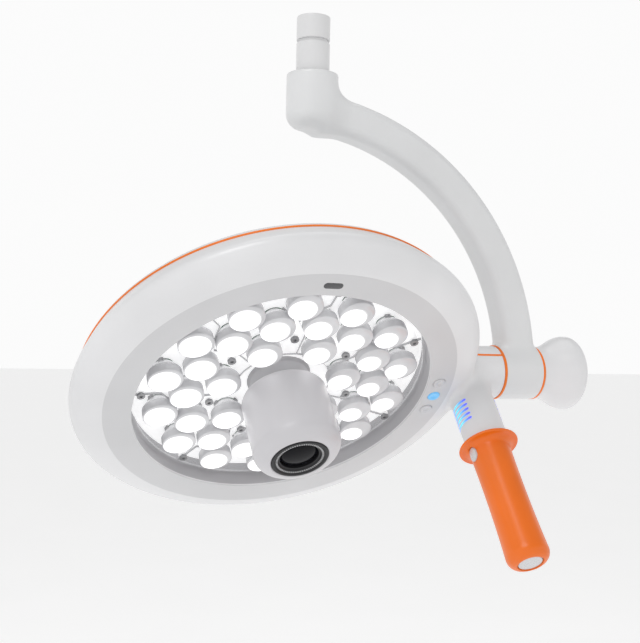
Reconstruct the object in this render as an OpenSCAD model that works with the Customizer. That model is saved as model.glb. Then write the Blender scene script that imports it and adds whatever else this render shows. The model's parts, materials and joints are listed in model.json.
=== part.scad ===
// Ceiling-arm dental operating light: a round multi-lens head with a central
// camera turret, a neck with a grip handle, and a curved yoke arm that hangs
// from a plain spigot. Millimetres, +Z up, the origin is on the swivel axis
// where the spigot leaves the yoke's socket.

/* [Pose] */
// Angle between straight down and the direction of the light
head_tilt = 41.4; // [20:0.1:60]

/* [Spigot] */
// Radius of the plain spigot
spigot_r = 15; // [14:0.5:18]
// Length of the plain wall below the retaining groove
spigot_lower = 27; // [20:1:40]
// Width of the retaining groove
groove_w = 3; // [2:0.5:4]
// Length of the plain wall above the groove
spigot_upper = 21; // [15:1:30]
// Radius of the journal that turns in the socket
journal_r = 12; // [12:0.5:13]
// Radius of the cable bore through the spigot
cable_r = 5; // [4:0.5:6]

/* [Yoke arm] */
// Outer radius of the socket that turns on the spigot
socket_r = 23.2; // [22:0.1:26]
// Depth of the socket below the spigot's shoulder
socket_depth = 50; // [48:1:56]
// Distance from the origin down to the tilt axis
hub_drop = 264; // [260:1:270]
// Radius of the arm's centre line
arm_r = 228; // [224:1:230]
// Width of the arm's section in the plane of its curve
arm_w = 33; // [30:1:36]
// Thickness of the arm's section across the plane of its curve
arm_t = 32; // [28:1:36]
// Corner radius of the arm's section
arm_corner = 9; // [6:1:12]
// Radius of the hub sleeve at the arm's lower end
hub_r = 25.5; // [25:0.1:27]

/* [Head] */
// Radius of the round light opening
opening_r = 130; // [130:0.5:131]
// Radius of the flat bezel's outer edge
bezel_r = 154; // [152:1:156]
// Largest radius of the head
head_r = 179.5; // [178:0.5:184]
// Height of the bezel's face above the tilt axis plane
bezel_h = 33.6; // [33:0.1:36]
// Depth of the rear cover below the tilt axis plane
rear_depth = 32; // [30:1:36]
// Wall thickness of the moulded covers
wall = 3; // [2.5:0.1:3.5]
// Width of the coloured seam between the covers
seam_w = 2.2; // [1.6:0.2:3]

/* [Optics] */
// Radius of one collimating lens
lens_r = 14.9; // [13:0.1:14.9]
// Radius of the outer ring of lenses
ring_outer = 106; // [106:0.5:108]
// Radius of the middle ring of lenses
ring_middle = 83; // [82:0.5:84]
// Radius of the inner ring of lenses
ring_inner = 54.5; // [54:0.5:56]

/* [Camera turret] */
// Radius of the turret's shell
turret_r = 37.5; // [36:0.5:38]
// Height of the turret's face above the tilt axis plane
turret_h = 95; // [90:1:100]
// Radius of the black lens bezel
lens_bezel_r = 24.5; // [23:0.5:25]

/* [Handle] */
// Distance from the head's centre to the handle along the tilt axis
handle_x = 184; // [182:1:186]
// Lean of the handle towards the head's centre
handle_lean = 2.3; // [0:0.1:3]
// Radius of the stub that carries the handle
stub_r = 19.4; // [19:0.1:21]
// Distance from the tilt axis to the end of the stub
stub_end = 84.5; // [84:0.5:85]
// Distance from the tilt axis to the end of the grip sleeve
sleeve_end = 203.4; // [203:0.1:206]
// Radius of the guard flange on the grip sleeve
flange_r = 26.8; // [25:0.1:28]
// Radius of the waist of the grip sleeve
grip_r = 17.2; // [17:0.1:18]

/* [Hidden] */
$fn = 64;
SEGMENTS = 7;
SEGMENT_NAMES = [for (i = [1:SEGMENTS]) str("lens_segment_", i)];

// Where the head's centre and the row of joints are
disc_x = -28;
fit = 0.05;
gap = 0.3;
ring_w = 2.4;
ring_left_x = 189.7;
ring_right_x = 231.5;
hub_left_x = ring_left_x + ring_w / 2;
hub_right_x = ring_right_x - ring_w / 2;
neck_r = 25;
neck_end = ring_left_x - ring_w / 2 - gap - disc_x;
neck_bore = 21.5;
shaft_r = 12;
shaft_bore = 7;
bush_r = 16;

// The arm's curve
arm_centre_x = -15;
arm_centre_z = 2 - hub_drop;
arm_top_angle = 84;
arm_channel = 7;

// The swivel's retaining groove and stop
catch_z = -32;
catch_w = 5;
catch_floor = 9;
dog_r = 1.6;
stop_r = 1.2;

// Heights in the head, measured along the light from the tilt axis plane
floor_top = 7.6;
floor_t = 1.6;
flange_top = 19;
flange_t = 2;
lens_foot = 5.2;
lens_shoulder = 16;
lens_top = 24;
lens_crown = 2;
bezel_t = 2.2;

// Section of the front housing's rim: an elliptical arc from the bezel's edge
// past the widest point, then a straight flank down to the seam
rim_h = 17;
rim_r = 172.3;
rim_from = -12;
rim_to = 66;
rim_rx = (head_r - bezel_r) / (1 - cos(rim_to));
rim_ry = (bezel_h - rim_h) / sin(rim_to);
rim_x = head_r - rim_rx;
rear_r = rim_r - 0.5;
gasket_t = 5;

// Where the neck starts inside each cover, and the row of cover screws
front_neck_x = 151;
rear_neck_x = 124;
cover_screw_count = 6;
cover_screw_r = 158;
post_r = 4.5;
post_from = 3;
post_to = 30.6;
boss_r = 5.5;
screw_head_r = 3.6;
screw_shaft_r = 1.5;

// Boards and heat sink
board_t = 1.6;
board_top = 3.4;
board_from_r = 40;
board_to_r = 122;
wire_hole_r = 12;

// Camera turret
turret_foot = 26.5;
turret_neck_r = 26;
turret_wall = 2.5;

// Tilt shaft and the bell at its end
shaft_from = 112;
shaft_to = 258;
washer_x = hub_right_x + gap;
bell_from = ring_right_x + ring_w / 2 + gap;
bell_to = 276;
bell_corner = 7;
bell_r = 35.5;

// Lens layout: each segment holds five lenses and two screws
step = 360 / SEGMENTS;
half = step / 2;
inner_angle = 18.2;
screw_inner_r = 63.4;
screw_outer_r = 121;
SEGMENT_LENSES = [[ring_inner, 0], [ring_middle, -step / 4], [ring_middle, step / 4],
    [ring_outer, 0], [ring_outer, -half]];
SEGMENT_SCREWS = [[screw_inner_r, -half], [screw_outer_r, step / 4]];
segment_from_r = 43;
segment_to_r = 128;
mouth_angle = -33;
edge_angle = -38.6;
segment_gap = 0.12;
SEGMENT_SIDE = [[segment_from_r, mouth_angle], [68, mouth_angle], [84, -25.7], [94, -31.3],
    [104, edge_angle], [segment_to_r, edge_angle]];

// Controls on the bezel
control_r = 141;
KEY_ANGLES = [10, 2.4, -5.2];
key_r = 5.6;
key_foot = 27.6;
window_angle = 90;
window_l = 16.7;
window_w = 7;

// The handle
core_r = 14.5;
sleeve_bore = 14.9;
core_flat = 10.6;
button_s = 95;
slot_first = 42;
slot_pitch = 4.9;
slot_h = 2.2;
slot_span = 84;
slot_count = 5;
end_disc_r = 10.4;
FACE = 0.01;

WHITE = [0.93, 0.93, 0.93];
GREY = [0.8, 0.8, 0.81];
ORANGE = [0.91, 0.43, 0.12];
STEEL = [0.7, 0.7, 0.72];
BRONZE = [0.72, 0.55, 0.3];
BLACK = [0.08, 0.08, 0.09];
GREEN = [0.1, 0.4, 0.2];
CYAN = [0.4, 0.75, 0.95];
CLEAR = [0.85, 0.9, 0.95];

// Points of an elliptical arc in a lathe profile
function arc(cx, cy, rx, ry, from, to, n) =
    [for (i = [0:n]) let (a = from + (to - from) * i / n) [cx + rx * cos(a), cy + ry * sin(a)]];
function polar(p) = [p[0] * cos(p[1]), p[0] * sin(p[1])];
// Outline of a rectangle with round corners, centred
function round_box(w, t, r, n = 6) = concat(
    arc(w / 2 - r, t / 2 - r, r, r, 0, 90, n), arc(r - w / 2, t / 2 - r, r, r, 90, 180, n),
    arc(r - w / 2, r - t / 2, r, r, 180, 270, n), arc(w / 2 - r, r - t / 2, r, r, 270, 360, n));

module tube(r_out, r_in, from, to) {
    rotate_extrude() translate([r_in, from]) square([r_out - r_in, to - from]);
}
module tube_fine(r_out, r_in, from, to) {
    rotate_extrude($fn = 128) translate([r_in, from]) square([r_out - r_in, to - from]);
}
module cylinder_from_to(r, from, to) {
    translate([0, 0, from]) cylinder(r = r, h = to - from);
}
module stadium(l, w, h) {
    linear_extrude(h) union() {
        square([l - w, w], center = true);
        for (s = [-1, 1]) translate([s * (l - w) / 2, 0]) circle(w / 2);
    }
}
// Frames: the head's own (+Z is the light), the handle's and the tilt axis (+Z is +X)
module in_head() {
    translate([disc_x, 0, -hub_drop]) rotate([180 - head_tilt, 0, 0]) children();
}
module in_handle() {
    in_head() handle_frame() children();
}
module handle_frame() {
    translate([handle_x, 0, 0]) rotate([0, -handle_lean, 0]) children();
}
module on_tilt_axis() {
    translate([0, 0, -hub_drop]) rotate([0, 90, 0]) children();
}
module at_controls(angle) {
    rotate([0, 0, angle]) translate([control_r, 0, 0]) children();
}
module each_lens(i) {
    for (p = SEGMENT_LENSES) translate(polar([p[0], p[1] + i * step + inner_angle])) children();
}
module each_screw(i) {
    for (p = SEGMENT_SCREWS) translate(polar([p[0], p[1] + i * step + inner_angle])) children();
}

// --- spigot, fixed to whatever the light hangs from ---
module spigot_pin() {
    top = spigot_lower + groove_w + spigot_upper;
    color(WHITE) difference() {
        rotate_extrude() polygon(concat(
            [[cable_r, -44], [journal_r - 1, -44], [journal_r, -43],
             [journal_r, catch_z - catch_w / 2], [catch_floor, catch_z - catch_w / 2],
             [catch_floor, catch_z + catch_w / 2], [journal_r, catch_z + catch_w / 2],
             [journal_r, 0], [spigot_r, 0], [spigot_r, spigot_lower],
             [spigot_r - 2, spigot_lower], [spigot_r - 2, spigot_lower + groove_w],
             [spigot_r, spigot_lower + groove_w]],
            arc(spigot_r - 1, top - 1, 1, 1, 0, 90, 4),
            [[cable_r, top]]));
        // seat of the stop pin
        translate([0, 0, catch_z]) rotate([90, 0, 0]) cylinder(r = stop_r, h = catch_floor + 1);
    }
}
module stop_pin() {
    color(STEEL) translate([0, 0, catch_z]) rotate([90, 0, 0])
        translate([0, 0, cable_r + 1]) cylinder(r = stop_r, h = journal_r - cable_r - 1.6);
}

// --- yoke arm ---
module arm_casting() {
    color(WHITE) difference() {
        union() {
            // socket with a rounded foot
            rotate_extrude() polygon(concat([[0, -gap]],
                [for (p = arc(socket_r - 2, -gap - 2, 2, 2, 90, 0, 4)) p],
                arc(socket_r - 14, 14 - socket_depth, 14, 14, 0, -90, 8),
                [[0, -socket_depth]]));
            // curved arm
            translate([arm_centre_x, 0, arm_centre_z]) rotate([90, 0, 0])
                rotate_extrude(angle = arm_top_angle, $fn = 128)
                translate([arm_r, 0]) polygon(round_box(arm_w, arm_t, arm_corner));
            // foot of the arm and hub sleeve
            on_tilt_axis() translate([0, 0, hub_left_x])
                cylinder(r = hub_r, h = hub_right_x - hub_left_x);
        }
        // swivel bearing: bush seats, clearance for the journal and its foot
        translate([0, 0, -13]) cylinder(r = bush_r, h = 14);
        translate([0, 0, -46]) cylinder(r = bush_r, h = 10);
        translate([0, 0, -37]) cylinder(r = journal_r + 1, h = 30);
        // retaining screw's hole, from the back
        translate([0, 0, catch_z]) rotate([-90, 0, 0]) cylinder(r = 4, h = socket_r + 1);
        // cable channel along the curve
        translate([arm_centre_x, 0, arm_centre_z]) rotate([90, 0, 0])
            rotate_extrude(angle = arm_top_angle - 2, $fn = 128) translate([arm_r, 0]) circle(arm_channel);
        // hub bore
        on_tilt_axis() translate([0, 0, hub_left_x - 1]) cylinder(r = bush_r, h = 60);
    }
}
module swivel_bush(from, to) {
    color(BRONZE) tube(bush_r, journal_r + fit, from, to);
}
module upper_bush() {
    swivel_bush(-13, -gap);
}
module lower_bush() {
    swivel_bush(-46, -36);
}
module retaining_screw() {
    color(STEEL) translate([0, 0, catch_z]) rotate([-90, 0, 0]) difference() {
        union() {
            translate([0, 0, journal_r + 1.5]) cylinder(r = 4, h = socket_r - journal_r - 2);
            translate([0, 0, catch_floor + gap]) cylinder(r = dog_r, h = 6);
        }
        // hexagon socket
        translate([0, 0, socket_r - 3.5]) cylinder(r = 2.3, h = 4, $fn = 6);
    }
}
module hub_bush(from, to) {
    color(BRONZE) on_tilt_axis() tube(bush_r, shaft_r + fit, from, to);
}
module hub_bush_left() {
    hub_bush(hub_left_x, hub_left_x + 12);
}
module hub_bush_right() {
    hub_bush(hub_right_x - 12, hub_right_x);
}
module seal_ring(x) {
    color(ORANGE) on_tilt_axis() tube(hub_r + 0.3, bush_r + 4, x - ring_w / 2, x + ring_w / 2);
}
module seal_ring_left() {
    seal_ring(ring_left_x);
}
module seal_ring_right() {
    seal_ring(ring_right_x);
}

// --- head: covers ---
module neck_half(side, from) {
    intersection() {
        translate([from, 0, 0]) rotate([0, 90, 0]) cylinder(r = neck_r, h = neck_end - from);
        translate([from, -neck_r - 1, side > 0 ? seam_w / 2 : -neck_r - 1])
            cube([neck_end - from + 1, 2 * neck_r + 2, neck_r + 1 - seam_w / 2]);
    }
}
module neck_hole(r) {
    translate([rear_neck_x - 1, 0, 0]) rotate([0, 90, 0]) cylinder(r = r, h = neck_end);
}
module at_cover_screws() {
    for (i = [0:cover_screw_count - 1]) rotate([0, 0, (i + 0.5) * 360 / cover_screw_count])
        translate([cover_screw_r, 0, 0]) children();
}
module light_slots() {
    for (side = [0, 180], i = [0:slot_count - 1])
        translate([0, 0, slot_first + i * slot_pitch])
            rotate([0, 0, side - slot_span / 2]) rotate_extrude(angle = slot_span)
            translate([stub_r - wall - 1.4, 0]) square([wall + 2.4, slot_h]);
}
module front_housing() {
    plate_back = bezel_h - bezel_t;
    color(WHITE) in_head() difference() {
        union() {
            rotate_extrude($fn = 128) polygon(concat(
                [[opening_r, bezel_h], [opening_r, plate_back]],
                arc(rim_x, rim_h, rim_rx - wall, rim_ry - bezel_t, rim_to - 2, rim_from, 9),
                [[rim_r - wall, seam_w / 2], [rim_r, seam_w / 2]],
                arc(rim_x, rim_h, rim_rx, rim_ry, rim_from, rim_to, 12)));
            neck_half(1, front_neck_x);
            handle_frame() cylinder_from_to(stub_r, 14, stub_end);
            at_cover_screws() cylinder_from_to(post_r, post_from, post_to);
        }
        neck_hole(neck_bore);
        handle_frame() cylinder_from_to(stub_r - wall - 0.2, 0, stub_end + 1);
        handle_frame() light_slots();
        for (a = KEY_ANGLES) at_controls(a) cylinder_from_to(key_r + gap, 20, bezel_h + 1);
        at_controls(window_angle) translate([0, 0, bezel_h - 4]) rotate([0, 0, 90])
            stadium(window_l, window_w, 8);
        at_cover_screws() cylinder_from_to(screw_shaft_r + 0.1, post_from - 1, post_from + 15);
    }
}
// Depth of the rear cover's outline at radius r
function dome(r, edge, depth) = -seam_w / 2 - depth * pow(1 - pow(r / edge, 3), 0.6);
module rear_cover() {
    steps = 14;
    outer = [for (i = [0:steps]) let (r = rear_r * sin(90 * i / steps))
        [r, dome(r, rear_r, rear_depth - seam_w / 2)]];
    inner = [for (i = [steps:-1:0]) let (r = (rear_r - wall) * sin(90 * i / steps))
        [r, dome(r, rear_r - wall, rear_depth - wall - seam_w / 2)]];
    color(WHITE) in_head() difference() {
        union() {
            rotate_extrude($fn = 128) polygon(concat(outer, inner));
            neck_half(-1, rear_neck_x);
            at_cover_screws() intersection() {
                cylinder_from_to(boss_r, -15, -seam_w / 2);
                translate([-cover_screw_r, 0, 0])
                    rotate_extrude() polygon(concat([[0, -seam_w / 2]], outer));
            }
        }
        neck_hole(neck_bore);
        at_cover_screws() {
            cylinder_from_to(screw_shaft_r + 0.6, -rear_depth, 10);
            cylinder_from_to(screw_head_r + 0.4, -rear_depth, -4);
        }
    }
}
module seam_gasket() {
    color(ORANGE) in_head() difference() {
        union() {
            tube_fine(rim_r, rim_r - gasket_t, -seam_w / 2, seam_w / 2);
            intersection() {
                translate([160, 0, 0]) rotate([0, 90, 0])
                    cylinder(r = neck_r + 0.3, h = neck_end - 160);
                translate([160, -neck_r - 5, -seam_w / 2]) cube([60, 2 * neck_r + 10, seam_w]);
            }
        }
        neck_hole(neck_bore + 0.4);
    }
}
module cover_screws() {
    color(STEEL) in_head() at_cover_screws() difference() {
        union() {
            cylinder_from_to(screw_head_r, -7, -4);
            cylinder_from_to(screw_shaft_r, -4 - FACE, 14);
        }
        cylinder_from_to(1.7, -8, -5.6, $fn = 6);
    }
}
module recess_wall() {
    lip_r = opening_r + 4.6;
    plate_back = bezel_h - bezel_t - 2 * fit;
    color(GREY) in_head() union() {
        tube(opening_r + 2.4, opening_r + 0.2, floor_top - floor_t, plate_back);
        tube(lip_r, opening_r + 2, plate_back - 2, plate_back);
    }
}

// --- head: optics ---
module reflector_plate() {
    color(WHITE) in_head() difference() {
        union() {
            translate([0, 0, floor_top - floor_t]) cylinder(r = opening_r, h = floor_t, $fn = 128);
            for (i = [0:SEGMENTS - 1]) each_screw(i)
                cylinder_from_to(4, floor_top - FACE, flange_top - flange_t - FACE);
        }
        for (i = [0:SEGMENTS - 1]) {
            each_lens(i) translate([0, 0, floor_top - 4]) cylinder(r = 9.2, h = 8);
            each_screw(i) translate([0, 0, floor_top - 4]) cylinder(r = screw_shaft_r + 0.05, h = 20);
        }
        translate([0, 0, floor_top - 4]) cylinder(r = wire_hole_r, h = 8);
    }
}
// Clear moulding: a flange that carries five collimating lenses
function turned(points, angle) = [for (p = points) polar([p[0], p[1] + angle])];
module lens_segment(i) {
    last = len(SEGMENT_SIDE) - 1;
    edge = concat(SEGMENT_SIDE,
        [for (k = [1:5]) [segment_to_r, edge_angle + step * k / 6]],
        [for (k = [last:-1:0]) [SEGMENT_SIDE[k][0], SEGMENT_SIDE[k][1] + step]],
        [for (k = [1:3]) [segment_from_r, mouth_angle + step * (4 - k) / 4]]);
    turn = i * step + inner_angle;
    color(CLEAR) in_head() difference() {
        union() {
            translate([0, 0, flange_top - flange_t]) linear_extrude(flange_t) intersection() {
                polygon(turned(edge, turn + segment_gap));
                polygon(turned(edge, turn - segment_gap));
            }
            each_lens(i) rotate_extrude() polygon(concat(
                [[0, lens_foot], [6.5, lens_foot], [lens_r, lens_shoulder], [lens_r, lens_top]],
                [for (k = [1:5]) let (a = 90 * k / 5)
                    [lens_r * cos(a), lens_top + lens_crown * sin(a)]]));
        }
        for (k = [i - 1, i]) each_screw(k)
            translate([0, 0, flange_top - flange_t - 1]) cylinder(r = 1.9, h = flange_t + 2);
    }
}
module lens_screws() {
    color(STEEL) in_head() for (i = [0:SEGMENTS - 1]) each_screw(i) difference() {
        union() {
            cylinder_from_to(screw_head_r, flange_top, flange_top + 2);
            cylinder_from_to(screw_shaft_r, floor_top + 1, flange_top + FACE);
        }
        translate([0, 0, flange_top + 0.8]) cylinder(r = 1.6, h = 2, $fn = 6);
    }
}
module led_boards() {
    color(GREEN) in_head() for (i = [0:SEGMENTS - 1]) rotate([0, 0, i * step])
        translate([0, 0, board_top - board_t]) rotate_extrude(angle = step - 0.4)
        translate([board_from_r, 0]) square([board_to_r - board_from_r, board_t]);
}
module led_chips() {
    color([0.95, 0.9, 0.6]) in_head() for (i = [0:SEGMENTS - 1]) each_lens(i)
        translate([0, 0, board_top + 0.6]) cube([3.5, 3.5, 1.2], center = true);
}
module heat_sink() {
    fins = 30;
    plate_t = 4;
    fin_h = 12;
    base = board_top - board_t - plate_t;
    color(STEEL) in_head() difference() {
        union() {
            translate([0, 0, base]) cylinder(r = board_to_r, h = plate_t, $fn = 128);
            for (i = [0:fins - 1]) rotate([0, 0, i * 360 / fins])
                translate([board_from_r, -1, base - fin_h])
                cube([board_to_r - board_from_r - 4, 2, fin_h + FACE]);
        }
        translate([0, 0, base - 1]) cylinder(r = wire_hole_r, h = plate_t + 2);
    }
}
module driver_board() {
    color(GREEN) in_head() union() {
        translate([-60, -45, -19.6]) cube([120, 90, board_t]);
        for (x = [-40, 0, 36]) translate([x, -20, -24]) cube([18, 22, 4.4 + FACE]);
    }
}

// --- head: camera turret ---
module turret_base() {
    flange = 3;
    color(GREY) in_head() rotate_extrude() polygon([
        [wire_hole_r, floor_top], [turret_neck_r + flange, floor_top],
        [turret_neck_r, floor_top + flange], [turret_neck_r, turret_foot + flange],
        [turret_neck_r + 6, turret_foot + flange], [turret_neck_r + 6, turret_foot + 2 * flange],
        [wire_hole_r, turret_foot + 2 * flange]]);
}
module turret_shell() {
    nose = 13;
    tail = 7;
    inner_r = turret_neck_r + gap;
    seat_r = lens_bezel_r - 0.1;
    color(GREY) in_head() rotate_extrude($fn = 96) polygon(concat(
        [[inner_r, turret_foot]],
        arc(turret_r - tail, turret_foot + tail, tail, tail, -90, 0, 6),
        arc(turret_r - nose, turret_h - nose, nose, nose, 0, 90, 8),
        [[seat_r, turret_h - 0.1], [seat_r, turret_h - turret_wall]],
        arc(turret_r - nose, turret_h - nose, nose - turret_wall, nose - turret_wall, 90, 0, 6),
        arc(turret_r - tail, turret_foot + tail, tail - turret_wall, tail - turret_wall, 0, -90, 4),
        [[inner_r, turret_foot + turret_wall]]));
}
module lens_bezel() {
    color(BLACK) in_head() rotate_extrude($fn = 96) polygon([[17.2, turret_h - 12],
        [lens_bezel_r - 0.4, turret_h - 12], [lens_bezel_r - 0.4, turret_h + 0.4],
        [lens_bezel_r - 2, turret_h + 0.4], [17.2, turret_h - 3]]);
}
module lens_barrel() {
    color(BLACK) in_head() tube(17, 14.2, turret_h - 38, turret_h - 4);
}
module front_element() {
    color(CLEAR) in_head() rotate_extrude($fn = 96) polygon(concat([[0, turret_h - 14]],
        [[14, turret_h - 14]], [for (k = [0:6]) let (a = 90 * k / 6)
            [14 * cos(a), turret_h - 11 + 4 * sin(a)]]));
}
module rear_element() {
    color(CLEAR) in_head() rotate_extrude($fn = 64) polygon(concat([[0, turret_h - 32]],
        [[14, turret_h - 32]], [for (k = [0:6]) let (a = 90 * k / 6)
            [14 * cos(a), turret_h - 29 + 3 * sin(a)]]));
}
module image_sensor_board() {
    color(GREEN) in_head() union() {
        translate([-17, -17, turret_h - 41]) cube([34, 34, board_t]);
        translate([-5, -4, turret_h - 39.4 - FACE]) cube([10, 8, 1.2]);
    }
}
module sensor_window() {
    color(BLACK) in_head() at_controls(window_angle) translate([0, 0, bezel_h - 2])
        rotate([0, 0, 90]) stadium(window_l - 0.4, window_w - 0.4, 2.3);
}
module key_board() {
    color(GREEN) in_head() union() {
        rotate([0, 0, -11]) translate([0, 0, 23]) rotate_extrude(angle = 27)
            translate([opening_r + 4, 0]) square([15, board_t]);
        for (a = KEY_ANGLES) at_controls(a) translate([0, 0, 24.6 - FACE]) cylinder(r = 3, h = 1.8);
    }
}
module key(angle) {
    in_head() at_controls(angle) union() {
        cylinder_from_to(key_r + 1.2, key_foot, key_foot + 1.4);
        rotate_extrude() polygon(concat([[0, key_foot], [key_r, key_foot], [key_r, bezel_h + 0.4]],
            arc(key_r - 1, bezel_h + 0.4, 1, 0.8, 0, 90, 4), [[0, bezel_h + 1]]));
    }
}
module key_plus() {
    color(GREY) key(KEY_ANGLES[0]);
}
module key_light() {
    color(CYAN) key(KEY_ANGLES[1]);
}
module key_minus() {
    color(GREY) key(KEY_ANGLES[2]);
}

// --- tilt joint, turning with the head ---
module tilt_shaft() {
    color(STEEL) on_tilt_axis() tube(shaft_r, shaft_bore, shaft_from, shaft_to);
}
module neck_bracket() {
    color(STEEL) on_tilt_axis() tube(neck_bore - 0.2, shaft_r + FACE, shaft_from, shaft_from + 22);
}
module thrust_washer() {
    color(BRONZE) on_tilt_axis() tube(18, shaft_r + 0.1, washer_x, washer_x + 2.4);
}
module disc_springs() {
    color(STEEL) on_tilt_axis() rotate_extrude() polygon([[shaft_r + 0.2, washer_x + 4.6],
        [18, washer_x + 2.4], [18, washer_x + 3.9], [shaft_r + 0.2, washer_x + 6.1]]);
}
module tilt_nut() {
    color(STEEL) on_tilt_axis() difference() {
        translate([0, 0, washer_x + 6.2]) cylinder(r = 17.5, h = 9, $fn = 6);
        translate([0, 0, washer_x + 6]) cylinder(r = shaft_r + FACE, h = 10);
    }
}
module bell_cap() {
    bore = 19;
    waist_x = bell_from + 5;
    widest_x = bell_to - bell_corner - 2;
    color(WHITE) on_tilt_axis() rotate_extrude($fn = 96) polygon(concat(
        [[bore, bell_from], [neck_r, bell_from]],
        [for (k = [0:8]) let (t = k / 9)
            [neck_r + (bell_r - neck_r) * (1 - cos(180 * t)) / 2, waist_x + (widest_x - waist_x) * t]],
        [[bell_r, widest_x]],
        arc(bell_r - bell_corner, bell_to - bell_corner, bell_corner, bell_corner, 0, 90, 6),
        [[0, bell_to], [0, bell_to - 6], [bore, bell_to - 6]]));
}

// --- handle ---
module handle_core() {
    color(WHITE) in_handle() difference() {
        union() {
            cylinder_from_to(core_r, 66, sleeve_end - 5.2);
            cylinder_from_to(stub_r - wall - 0.4, 66, 74);
        }
        cylinder_from_to(8, 65, sleeve_end - 12);
        cylinder_from_to(3.4, sleeve_end - 13, sleeve_end);
        // flat that the release button runs on
        translate([-core_flat - 20, -20, stub_end + gap]) cube([20, 40, 140]);
    }
}
module light_guide(side) {
    guide_r = stub_r - wall - 0.5;
    guide_t = 4;
    tooth_r = stub_r - 0.1;
    color(CYAN) in_handle() rotate([0, 0, side - slot_span / 2 + 1])
        rotate_extrude(angle = slot_span - 2) union() {
            translate([guide_r - guide_t, slot_first - 1])
                square([guide_t, slot_pitch * (slot_count - 1) + slot_h + 2]);
            for (i = [0:slot_count - 1]) translate([guide_r - 1, slot_first + i * slot_pitch + 0.1])
                square([tooth_r - guide_r + 1, slot_h - 0.2]);
        }
}
module light_guide_left() {
    light_guide(180);
}
module light_guide_right() {
    light_guide(0);
}
module glow_board() {
    color(GREEN) in_handle() translate([-0.8, -9, slot_first]) cube([1.6, 18, 22]);
}
module sleeve_window(extra) {
    translate([0, 0, button_s]) rotate([0, -90, 0]) stadium(13 + 2 * extra, 10 + 2 * extra, 30);
}
module grip_sleeve() {
    s0 = stub_end + 0.5;
    end_r = 18.6;
    fillet = 6;
    color(ORANGE) in_handle() difference() {
        rotate_extrude($fn = 96) polygon(concat(
            [[sleeve_bore, s0], [flange_r - 1, s0]],
            arc(flange_r - 1, s0 + 1, 1, 1, -90, 90, 4),
            arc(grip_r + 0.8 + fillet, s0 + 2 + fillet, fillet, fillet, -90, -180, 5),
            [for (k = [0:10]) let (t = k / 10)
                [grip_r + (end_r - grip_r) * pow(t, 3) + 0.7 * pow(1 - t, 3),
                 s0 + 10 + (sleeve_end - 10 - s0 - 10) * t]],
            arc(end_r - 8, sleeve_end - 8, 8, 8, 0, 90, 7),
            [[end_disc_r + 0.4, sleeve_end], [end_disc_r + 0.4, sleeve_end - 4],
             [sleeve_bore, sleeve_end - 4.4]]));
        sleeve_window(gap);
    }
}
module release_button() {
    color(GREY) in_handle() union() {
        intersection() {
            sleeve_window(0);
            difference() {
                cylinder_from_to(19.2, button_s - 20, button_s + 20);
                cylinder_from_to(13.3, button_s - 21, button_s + 21);
            }
        }
        translate([-13.4, -5.8, button_s - 7.4]) cube([1.2, 11.6, 14.8]);
    }
}
module end_button() {
    color(GREY) in_handle() union() {
        cylinder_from_to(end_disc_r, sleeve_end - 3.2, sleeve_end - 0.8);
        cylinder_from_to(3, sleeve_end - 10, sleeve_end - 3.2 + FACE);
    }
}

spigot_pin();
stop_pin();
arm_casting();
upper_bush();
lower_bush();
retaining_screw();
hub_bush_left();
hub_bush_right();
seal_ring_left();
seal_ring_right();
front_housing();
rear_cover();
seam_gasket();
cover_screws();
recess_wall();
reflector_plate();
for (i = [0:SEGMENTS - 1]) lens_segment(i);
lens_screws();
led_boards();
led_chips();
heat_sink();
driver_board();
turret_base();
turret_shell();
lens_bezel();
lens_barrel();
front_element();
rear_element();
image_sensor_board();
sensor_window();
key_board();
tilt_shaft();
neck_bracket();
thrust_washer();
disc_springs();
tilt_nut();
bell_cap();
handle_core();
light_guide_left();
light_guide_right();
glow_board();
grip_sleeve();
release_button();
end_button();
key_plus();
key_light();
key_minus();
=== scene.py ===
"""Looks of the dental operating light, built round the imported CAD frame, in millimetres."""
import json
import math

import bmesh
import bpy
import numpy as np
from mathutils import Matrix, Vector


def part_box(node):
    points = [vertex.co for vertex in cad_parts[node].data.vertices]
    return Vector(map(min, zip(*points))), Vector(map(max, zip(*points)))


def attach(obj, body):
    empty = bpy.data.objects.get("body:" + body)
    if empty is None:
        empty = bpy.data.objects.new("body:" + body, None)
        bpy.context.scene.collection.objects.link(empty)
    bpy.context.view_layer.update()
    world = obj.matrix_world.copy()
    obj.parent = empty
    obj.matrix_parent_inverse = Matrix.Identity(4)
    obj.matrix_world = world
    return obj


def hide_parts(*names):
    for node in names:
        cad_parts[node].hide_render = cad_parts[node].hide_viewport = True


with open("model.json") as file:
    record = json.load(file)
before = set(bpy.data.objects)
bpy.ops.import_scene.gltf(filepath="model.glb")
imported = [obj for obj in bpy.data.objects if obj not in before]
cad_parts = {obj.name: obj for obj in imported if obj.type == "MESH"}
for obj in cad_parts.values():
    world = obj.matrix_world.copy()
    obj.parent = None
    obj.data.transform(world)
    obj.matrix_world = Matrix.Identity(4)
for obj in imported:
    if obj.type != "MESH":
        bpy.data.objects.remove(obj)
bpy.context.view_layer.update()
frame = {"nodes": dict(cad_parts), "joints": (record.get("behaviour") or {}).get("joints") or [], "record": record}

MM = 0.001
NODES = frame["nodes"]
JOINTS = {j["name"]: j for j in frame["joints"]}

# ---------------------------------------------------------------- frames, from the CAD's joints
HUB = Vector(JOINTS["tilt"]["pos_m"])
LIGHT = -Vector(JOINTS["light_press"]["axis"]).normalized()
ACROSS = Vector(JOINTS["tilt"]["axis"]).normalized()
GRIP = Vector(JOINTS["sleeve_off"]["axis"]).normalized()


def frame_matrix(x_axis, z_axis, origin):
    """Matrix from millimetres in a local frame to metres in the row frame."""
    z = z_axis.normalized()
    y = z.cross(x_axis).normalized()
    x = y.cross(z)
    turn = Matrix((x, y, z)).transposed().to_4x4()
    return Matrix.Translation(origin) @ turn @ Matrix.Scale(MM, 4)


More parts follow.
